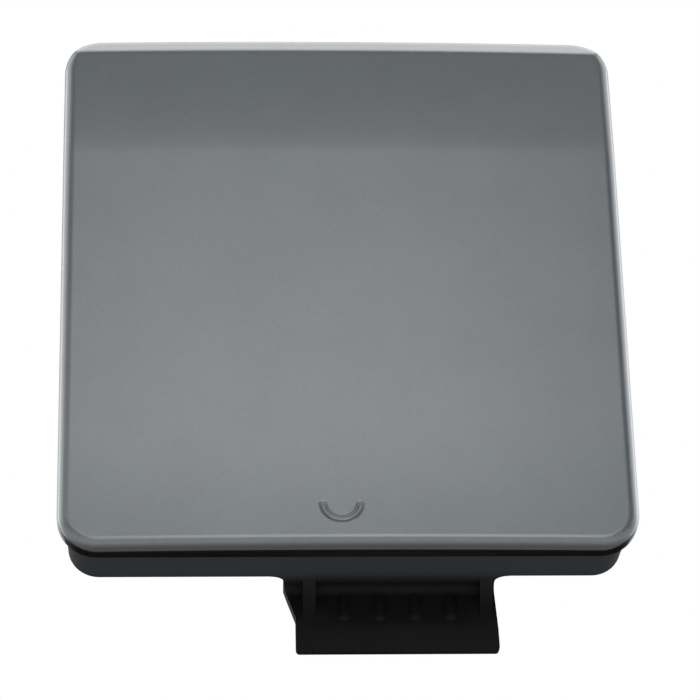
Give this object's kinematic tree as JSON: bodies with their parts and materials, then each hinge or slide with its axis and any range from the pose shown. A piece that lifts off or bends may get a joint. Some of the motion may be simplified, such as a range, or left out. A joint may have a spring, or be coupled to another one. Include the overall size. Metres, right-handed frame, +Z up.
{
  "type": "bumper tow hook cover",
  "caption": "Snap-in cover for the tow hook opening of a bumper: rounded square panel with a crowned face, an inset skirt, snap hooks above and a folded tongue below.",
  "frame": {"origin": "middle of the panel's outline, on the plane of the seat ledge that rests on the bumper", "axes": "+X to the right for a viewer in front of the bumper, +Y into the car, +Z up, as installed"},
  "size_m": [0.072, 0.0199, 0.0814],
  "materials": {
    "cover": "silver-grey lacquer on the front of a black moulding; the skirt, hooks, tongue and back are bare black plastic"
  },
  "bodies": {
    "root": {"tow_hook_cover": "cover"}
  },
  "joints": []
}
